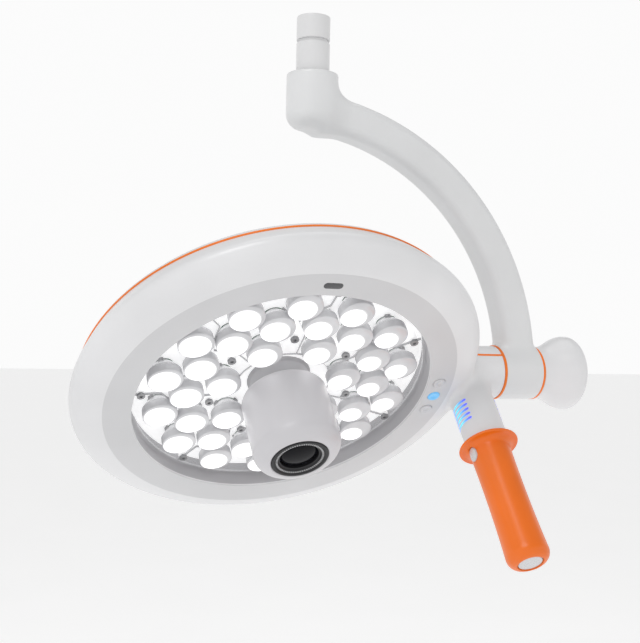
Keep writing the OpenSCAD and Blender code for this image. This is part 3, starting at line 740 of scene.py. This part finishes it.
def add_lens(bm, layer, x, y):
    """A lens: a cone from its foot, a short cylinder and a domed face with a glowing white patch that is partly
    painted highlight.
    """
    # painted highlight: the white patch shrinks and slides off-centre the further along x the lens sits
    share = min(1.0, max(0.0, (x + 90) / 180))
    spot = LENS_R * (0.86 - 0.2 * share)
    away = Vector((-0.05 - 0.2 * share, -0.05 - 0.22 * share)) * LENS_R
    wall = [(6.5, 5.4), (9.2, 8.6), (LENS_R - 0.9, 15.2), (LENS_R, 16.6), (LENS_R, LENS_TOP)]
    face_rings = [LENS_R * math.sin(math.radians(a)) for a in range(82, 0, -6)]
    profile = wall + [(r, LENS_TOP + crown(r)) for r in face_rings]
    sectors, last = 56, None
    for i, (r, z) in enumerate(profile):
        row = []
        for k in range(sectors):
            a = 2 * math.pi * k / sectors
            px, py = r * math.cos(a), r * math.sin(a)
            v = bm.verts.new((x + px, y + py, z))
            inside = (spot - math.hypot(px - away.x, py - away.y)) / 2.2
            glow_and_painted_highlight = min(1.0, max(0.0, inside + 0.5)) if i >= len(wall) else 0.0
            v[layer] = glow_and_painted_highlight * glow_and_painted_highlight * (3 - 2 * glow_and_painted_highlight)
            row.append(v)
        if last:
            for k in range(sectors):
                bm.faces.new((last[k], last[(k + 1) % sectors], row[(k + 1) % sectors], row[k]))
        else:
            bm.faces.new(list(reversed(row)))
        last = row
    bm.faces.new(last)


def segment_outline(turn):
    side = [(43, -33), (68, -33), (84, -25.7), (94, -31.3), (104, -38.6), (128, -38.6)]
    rim = [(128, -38.6 + STEP * k / 8) for k in range(1, 8)]
    far = [(r, a + STEP) for r, a in reversed(side)]
    mouth = [(43, -33 + STEP * (4 - k) / 4) for k in range(1, 4)]
    # the two straight sides draw in by a hair, and so do the rim and the mouth
    turns = [0.16 if i < 6 else -0.16 if 12 < i < 20 else 0 for i in range(len(side + rim + far + mouth))]
    return [polar(r - 0.3 * (r > 120) + 0.3 * (r < 50), a + turn + hair)
            for (r, a), hair in zip(side + rim + far + mouth, turns)]


def build_segments():
    for i in range(SEGMENTS):
        turn = i * STEP + INNER_ANGLE
        bm = bmesh.new()
        # per-vertex mask of each lens face's glow and painted highlight
        layer = bm.verts.layers.float.new("glow_and_painted_highlight")
        for r, a in LENS_PLACES:
            add_lens(bm, layer, *polar(r, a + turn))
        outline = segment_outline(turn)
        low = [bm.verts.new((x, y, FLANGE_TOP - 2)) for x, y in outline]
        high = [bm.verts.new((x, y, FLANGE_TOP)) for x, y in outline]
        for face in (bm.faces.new(high), bm.faces.new(list(reversed(low)))):
            face.material_index = 1
        for k in range(len(outline)):
            n = (k + 1) % len(outline)
            face = bm.faces.new((low[k], low[n], high[n], high[k]))
            face.material_index = 2
        name = f"lens_segment_{i + 1}"
        piece(f"lens_array_{i + 1}", bm, HEAD, ["lens_clear", "clear_sheet", "button_grey"],
              "head", [name])


def build_clips():
    """Small dark feet that hold the lenses to the boards, seen between the lenses."""
    bm = bmesh.new()
    for i in range(SEGMENTS):
        turn = i * STEP + INNER_ANGLE
        for r, a in LENS_PLACES:
            x, y = polar(r, a + turn)
            for k in range(3):
                b = a + turn + 60 + 120 * k
                px, py = x + 10.4 * math.cos(math.radians(b)), y + 10.4 * math.sin(math.radians(b))
                box = Matrix.Translation((px, py, 9.6)) @ Matrix.Rotation(math.radians(b), 4, "Z")
                bmesh.ops.create_cube(bm, size=1.0, matrix=box @ Matrix.Diagonal((1.6, 5.0, 4.2, 1)))
    bmesh.ops.bevel(bm, geom=list(bm.edges), offset=0.3, segments=1, affect="EDGES")
    piece("lens_clips", bm, HEAD, ["clip_dark"], "head")


def build_recess():
    wall_profile = rounded([(130.2, 6, 0), (132.4, 6, 0), (132.4, 29.4, 0), (138, 29.4, 0),
                            (138, 31.4, 0), (130.2, 31.4, 0.3)])
    lathe_piece("recess_ring", wall_profile, HEAD, "recess_grey", "head", ["recess_wall"], 256)


# ---------------------------------------------------------------- camera turret
def build_turret():
    nose, tail, t = 13.0, 7.0, 2.5
    outer = (arc(TURRET_R - tail, TURRET_FOOT + tail, tail, tail, -90, 0, 10)
             + arc(TURRET_R - nose, TURRET_H - nose, nose, nose, 0, 80, 16)
             + [(LENS_BEZEL_R + 1.0, TURRET_H - 0.05), (LENS_BEZEL_R, TURRET_H - 0.6)])
    inner = ([(LENS_BEZEL_R, TURRET_H - t)]
             + arc(TURRET_R - nose, TURRET_H - nose, nose - t, nose - t, 90, 0, 8)
             + arc(TURRET_R - tail, TURRET_FOOT + tail, tail - t, tail - t, 0, -90, 5)
             + [(26.3, TURRET_FOOT + t), (26.3, TURRET_FOOT)])
    lathe_piece("turret_cover", outer + inner, HEAD, "turret_grey", "head",
                ["turret_shell"], 160)
    foot = rounded([(12, 7.6, 0), (29, 7.6, 0.5), (26, 10.6, 2), (26, 29.5, 0), (32, 29.5, 0),
                    (32, 32.5, 0), (12, 32.5, 0)])
    # the foot's darker grey is painted shade
    lathe_piece("turret_neck", foot, HEAD, "turret_foot", "head", ["turret_base"], 128)
    ring = rounded([(16.6, TURRET_H - 11, 0), (24.1, TURRET_H - 11, 0), (24.1, TURRET_H + 0.35, 0.6),
                    (22.0, TURRET_H + 0.35, 0.4), (21.0, TURRET_H - 0.9, 0.3), (18.2, TURRET_H - 1.2, 0.3),
                    (17.6, TURRET_H - 2.4, 0.3), (16.6, TURRET_H - 2.8, 0.2)])
    bm = lathe(bmesh.new(), ring, 160)
    teeth = 64
    for k in range(teeth):
        a = 2 * math.pi * k / teeth
        place = (Matrix.Rotation(a, 4, "Z") @ Matrix.Translation((19.6, 0, TURRET_H - 0.95))
                 @ Matrix.Diagonal((1.5, 0.8, 0.7, 1)))
        made = bmesh.ops.create_cube(bm, size=1.0, matrix=place)
        for face in {f for v in made["verts"] for f in v.link_faces}:
            face.material_index = 1
    piece("camera_bezel", bm, HEAD, ["camera_black", "bezel_dots"], "head",
          ["lens_bezel"], 25)
    barrel = rounded([(14.2, TURRET_H - 38, 0), (16.5, TURRET_H - 38, 0), (16.5, TURRET_H - 9.2, 0.3),
                      (14.2, TURRET_H - 9.2, 0.3)])
    lathe_piece("camera_barrel", barrel, HEAD, "camera_black", "head", ["lens_barrel"], 96)
    glass = [(0, TURRET_H - 9), (16.4, TURRET_H - 9)] + arc(0, TURRET_H - 6.5, 16.4, 4.6, 0, 90, 16)
    lathe_piece("camera_front_glass", glass, HEAD, "camera_glass", "head",
                ["front_element"], 96)


# ---------------------------------------------------------------- tilt joint
def build_tilt_parts():
    for name, x in (("seal_ring_left", RING_LEFT), ("seal_ring_right", RING_RIGHT)):
        half = RING_W / 2
        profile = rounded([(20, x - half, 0), (HUB_R + 0.2, x - half, 0.5), (HUB_R + 0.2, x + half, 0.5),
                           (20, x + half, 0)])
        lathe_piece(name + "_bead", profile, AXLE, "orange_seal", "arm", [name])
    corner = 7.0
    waist, widest = BELL_FROM + 5, BELL_TO - corner - 2
    outer = [(NECK_R - 0.4, BELL_FROM), (NECK_R, BELL_FROM + 0.4)]
    for k in range(25):
        rise = (1 - math.cos(math.pi * k / 24)) / 2
        outer.append((NECK_R + (BELL_R - NECK_R) * rise, waist + (widest - waist) * k / 24))
    outer += arc(BELL_R - corner, BELL_TO - corner, corner, corner, 0, 86, 14)
    outer += [(9, BELL_TO - 0.05), (0, BELL_TO)]
    inner = [(0, BELL_TO - 6), (18.5, BELL_TO - 6), (18.5, BELL_FROM)]
    lathe_piece("bell", outer + inner, AXLE, "cover_white", "head", ["bell_cap"], 160, 40.0)


# ---------------------------------------------------------------- handle
BUTTON_S = 95.0


def build_handle():
    s0 = STUB_END + 0.5
    profile = [(14.9, s0 + 0.4), (15.3, s0), (24.0, s0)]
    profile += arc(26.8 - 1.1, s0 + 1.25, 1.1, 1.25, -90, 90, 8)
    profile += arc(18.0 + 6.5, s0 + 2.5 + 6.0, 6.5, 6.0, -90, -180, 10)
    start, end = s0 + 9.5, SLEEVE_END - 9
    for k in range(1, 25):
        t = k / 25
        profile.append((17.15 + 1.45 * t ** 3 + 0.85 * (1 - t) ** 3, start + (end - start) * t))
    profile += arc(18.6 - 8, SLEEVE_END - 9, 8, 9, 0, 84, 14)
    profile += [(11.3, SLEEVE_END - 0.3), (10.9, SLEEVE_END - 0.9), (10.9, SLEEVE_END - 4),
                (14.9, SLEEVE_END - 4.4)]
    sleeve = lathe_piece("grip", profile, HANDLE, "orange_grip", "sleeve",
                         ["grip_sleeve"], 128, 35.0)
    to_side = Matrix.Translation((0, 0, BUTTON_S)) @ Matrix.Rotation(math.radians(-90), 4, "Y")
    window = stadium(13.6, 10.6, 10, 30, 0.0)
    cut(sleeve, [cutter(window, HANDLE @ to_side)], 35.0)
    button = stadium(13.0, 10.0, 13.4, 19.0, 1.0)
    flange = stadium(14.6, 11.4, 12.3, 13.35, 0.0)
    add_to(button, flange)
    piece("release_pad", button, HANDLE @ to_side, ["button_grey"], "release",
          ["release_button"])
    disc = rounded([(0, SLEEVE_END - 3.2, 0), (10.4, SLEEVE_END - 3.2, 0.2), (10.4, SLEEVE_END - 0.8, 0.6),
                    (0, SLEEVE_END - 0.6, 0)])
    lathe_piece("end_disc", disc, HANDLE, "button_grey", "end_key", ["end_button"], 80)


def build_slots():
    """Backlit slots in the stub: curved bars with round ends, flush with its wall."""
    count, pitch, height, first, span = 5, 4.9, 2.2, 42.0, 84.0
    across, along = 30, 6
    for name, middle in (("light_guide_left", 180.0), ("light_guide_right", 0.0)):
        bm = bmesh.new()
        layer = bm.verts.layers.float.new("blend")
        for i in range(count):
            s = first + i * pitch + height / 2
            half = math.radians(span / 2 - 1)
            rows = []
            for r in (STUB_R + 0.12, STUB_R - 2.4):
                grid = []
                for a in range(across + 1):
                    t = -1 + 2 * a / across
                    reach = STUB_R * half * (1 - abs(t))
                    tall = height / 2 * math.sqrt(max(0.04, 1 - max(0.0, 1 - reach / (height / 2)) ** 2))
                    column = []
                    for b in range(along + 1):
                        angle = math.radians(middle) + half * t
                        v = bm.verts.new((r * math.cos(angle), r * math.sin(angle),
                                          s - tall + 2 * tall * b / along))
                        v[layer] = 0.2 + 0.6 * abs(t) ** 0.8
                        column.append(v)
                    grid.append(column)
                rows.append(grid)
            outer, inner = rows
            for a in range(across):
                for b in range(along):
                    bm.faces.new((outer[a][b], outer[a + 1][b], outer[a + 1][b + 1], outer[a][b + 1]))
                    bm.faces.new((inner[a][b + 1], inner[a + 1][b + 1], inner[a + 1][b], inner[a][b]))
                for b in (0, along):
                    bm.faces.new((outer[a][b], outer[a + 1][b], inner[a + 1][b], inner[a][b]))
            for a in (0, across):
                for b in range(along):
                    bm.faces.new((outer[a][b], outer[a][b + 1], inner[a][b + 1], inner[a][b]))
        piece(name + "_bars", bm, HANDLE, ["glow_blue"], "head", [name])


# ---------------------------------------------------------------- CAD nodes that stay, and the stage
def paint_cad_nodes():
    slots = {s["node"]: s["material_slot"] for s in frame["record"]["subparts"]}
    for name, obj in NODES.items():
        finish = "screw_dark" if name == "lens_screws" else slots[name]
        obj.data.materials.clear()
        obj.data.materials.append(MATERIALS[finish])
        for polygon in obj.data.polygons:
            polygon.material_index = 0


def area_light(name, place, target, size, power):
    data = bpy.data.lights.new(name, "AREA")
    data.shape = "DISK"
    data.size = size
    data.energy = power
    obj = bpy.data.objects.new(name, data)
    bpy.context.scene.collection.objects.link(obj)
    obj.location = place
    obj.rotation_euler = (Vector(target) - Vector(place)).to_track_quat("-Z", "Y").to_euler()


def build_stage():
    scene = bpy.context.scene
    material, tree, principled, coords = shader("floor")
    cloud = noise(tree, coords, 3.0)
    tree.links.new(ramp(tree, cloud, (0.93, 0.93, 0.93), (0.95, 0.95, 0.95)), principled.inputs["Base Color"])
    principled.inputs["Roughness"].default_value = 0.9
    principled.inputs["Emission Color"].default_value = (1, 1, 1, 1)
    principled.inputs["Emission Strength"].default_value = 0.36
    bm = bmesh.new()
    bmesh.ops.create_grid(bm, x_segments=8, y_segments=8, size=30)
    mesh = bpy.data.meshes.new("floor")
    bm.to_mesh(mesh)
    bm.free()
    mesh.materials.append(material)
    floor = bpy.data.objects.new("floor", mesh)
    floor.location = (0, 0, -1.1)
    scene.collection.objects.link(floor)
    world = bpy.data.worlds.new("studio")
    world.use_nodes = True
    sky = world.node_tree
    direction = sky.nodes.new("ShaderNodeTexCoord")
    split = sky.nodes.new("ShaderNodeSeparateXYZ")
    sky.links.new(direction.outputs["Generated"], split.inputs["Vector"])
    height = sky.nodes.new("ShaderNodeMapRange")
    height.interpolation_type = "SMOOTHSTEP"
    height.inputs["From Min"].default_value = 0.3
    height.inputs["From Max"].default_value = 0.55
    height.inputs["To Min"].default_value = 0.97
    height.inputs["To Max"].default_value = 0.42
    sky.links.new(split.outputs["Z"], height.inputs["Value"])
    sky.links.new(height.outputs["Result"], sky.nodes["Background"].inputs["Strength"])
    sky.nodes["Background"].inputs["Color"].default_value = (1, 1, 1, 1)
    scene.world = world
    scene.view_settings.view_transform = "Standard"
    middle = (0.05, 0, -0.2)
    area_light("key_light", (-1.1, -1.1, 1.5), middle, 1.1, 15)
    area_light("top_light", (0.3, 0.4, 1.7), middle, 1.6, 6)


def build_camera():
    """The photograph's viewpoint: left of the swivel axis, level with the head, almost horizontal."""
    width, height, focal_px, sensor = 640, 643, 1035.4, 36.0
    yaw, pitch, roll = math.radians(21.485), math.radians(1.272), math.radians(1.127)
    data = bpy.data.cameras.new("camera")
    data.sensor_width = sensor
    data.lens = focal_px * sensor / max(width, height)
    data.clip_start, data.clip_end = 0.05, 100
    camera = bpy.data.objects.new("camera", data)
    bpy.context.scene.collection.objects.link(camera)
    forward = Vector((math.sin(yaw) * math.cos(pitch), math.cos(yaw) * math.cos(pitch), math.sin(pitch)))
    level = Vector((math.cos(yaw), -math.sin(yaw), 0))
    up = level.cross(forward)
    right = level * math.cos(roll) + up * math.sin(roll)
    up = right.cross(forward)
    camera.matrix_world = (Matrix.Translation((-0.3265, -0.8594, -0.2408))
                           @ Matrix((right, up, -forward)).transposed().to_4x4())
    bpy.context.scene.camera = camera


build_camera()
build_stage()
paint_cad_nodes()
build_arm()
build_spigot()
build_covers()
build_controls()
build_segments()
build_clips()
build_recess()
build_turret()
build_tilt_parts()
build_handle()
build_slots()
